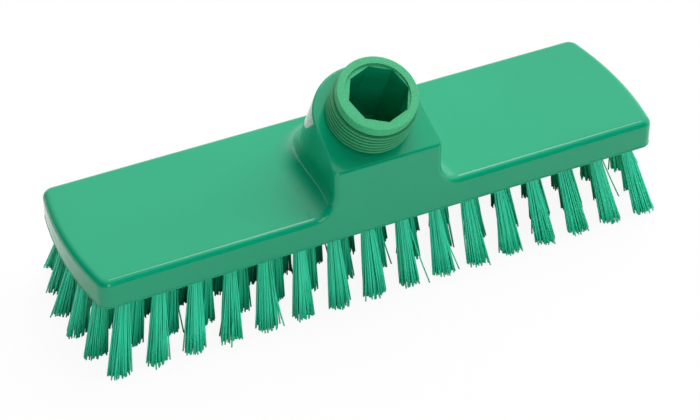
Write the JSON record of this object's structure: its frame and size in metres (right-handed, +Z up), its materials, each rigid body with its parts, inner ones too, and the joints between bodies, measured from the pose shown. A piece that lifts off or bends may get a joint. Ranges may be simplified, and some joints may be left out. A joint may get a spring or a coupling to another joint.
{
  "type": "floor scrub brush head",
  "caption": "Rectangular scrub brush head: a moulded block with a forward-leaning threaded socket for a handle, and rows of bristle tufts that fan out underneath.",
  "frame": {"origin": "on the floor under the middle of the bristles, at the plane of the bristle tips", "axes": "+X along the block, +Z up, -Y towards the front, where the socket's mouth points"},
  "size_m": [0.2338, 0.0758, 0.0878],
  "materials": {
    "moulded_block": "glossy injection-moulded polypropylene",
    "bristle_filament": "extruded polyester filament, satin",
    "anchor_wire": "drawn stainless wire"
  },
  "bodies": {
    "root": {"brush_block": "moulded_block", "front_bristle_rows": "bristle_filament", "middle_bristle_rows": "bristle_filament", "back_bristle_rows": "bristle_filament"}
  },
  "joints": []
}
